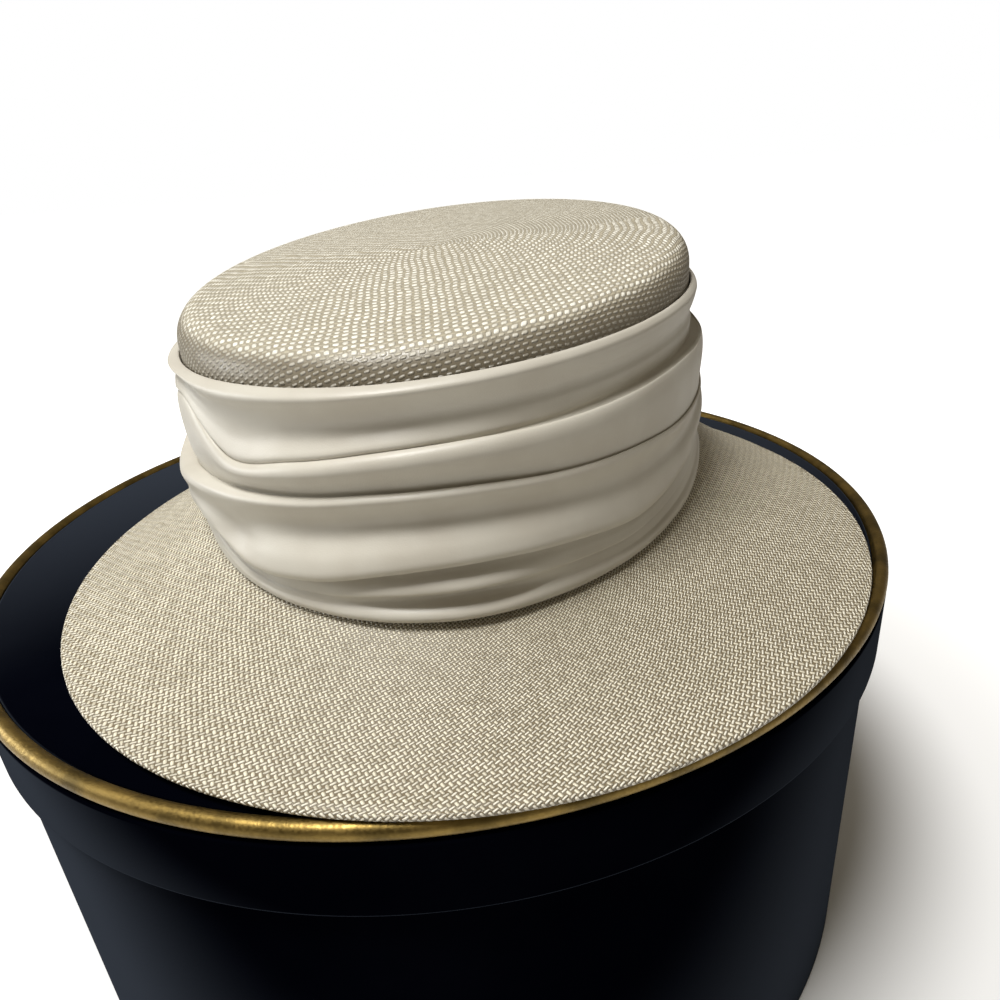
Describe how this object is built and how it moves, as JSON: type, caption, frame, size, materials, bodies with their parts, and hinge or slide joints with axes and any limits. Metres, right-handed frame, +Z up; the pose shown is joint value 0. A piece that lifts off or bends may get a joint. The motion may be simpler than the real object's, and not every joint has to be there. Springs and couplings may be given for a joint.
{
  "type": "straw boater-style hat on a round hat box",
  "caption": "Flat-topped woven straw hat with a draped satin band and a sloping brim, resting on the closed lid of a round hat box with a gold bead.",
  "frame": {"origin": "centre of the hat box's bottom, on the floor", "axes": "+Z up, -Y towards the hat's front, +X to the right of someone who looks at the front"},
  "size_m": [0.3344, 0.3344, 0.2683],
  "materials": {
    "straw": "cream woven sisal straw with a soft sheen",
    "satin": "ivory satin cloth, draped in soft folds",
    "navy_board": "dark navy paper over stiff board, dull",
    "gold_bead": "gold-coloured bead, satin metal"
  },
  "bodies": {
    "root": {"straw_crown": "straw", "straw_brim": "straw", "draped_band": "satin", "hat_box_body": "navy_board", "hat_box_lid": "navy_board", "lid_gold_bead": "gold_bead"}
  },
  "joints": []
}
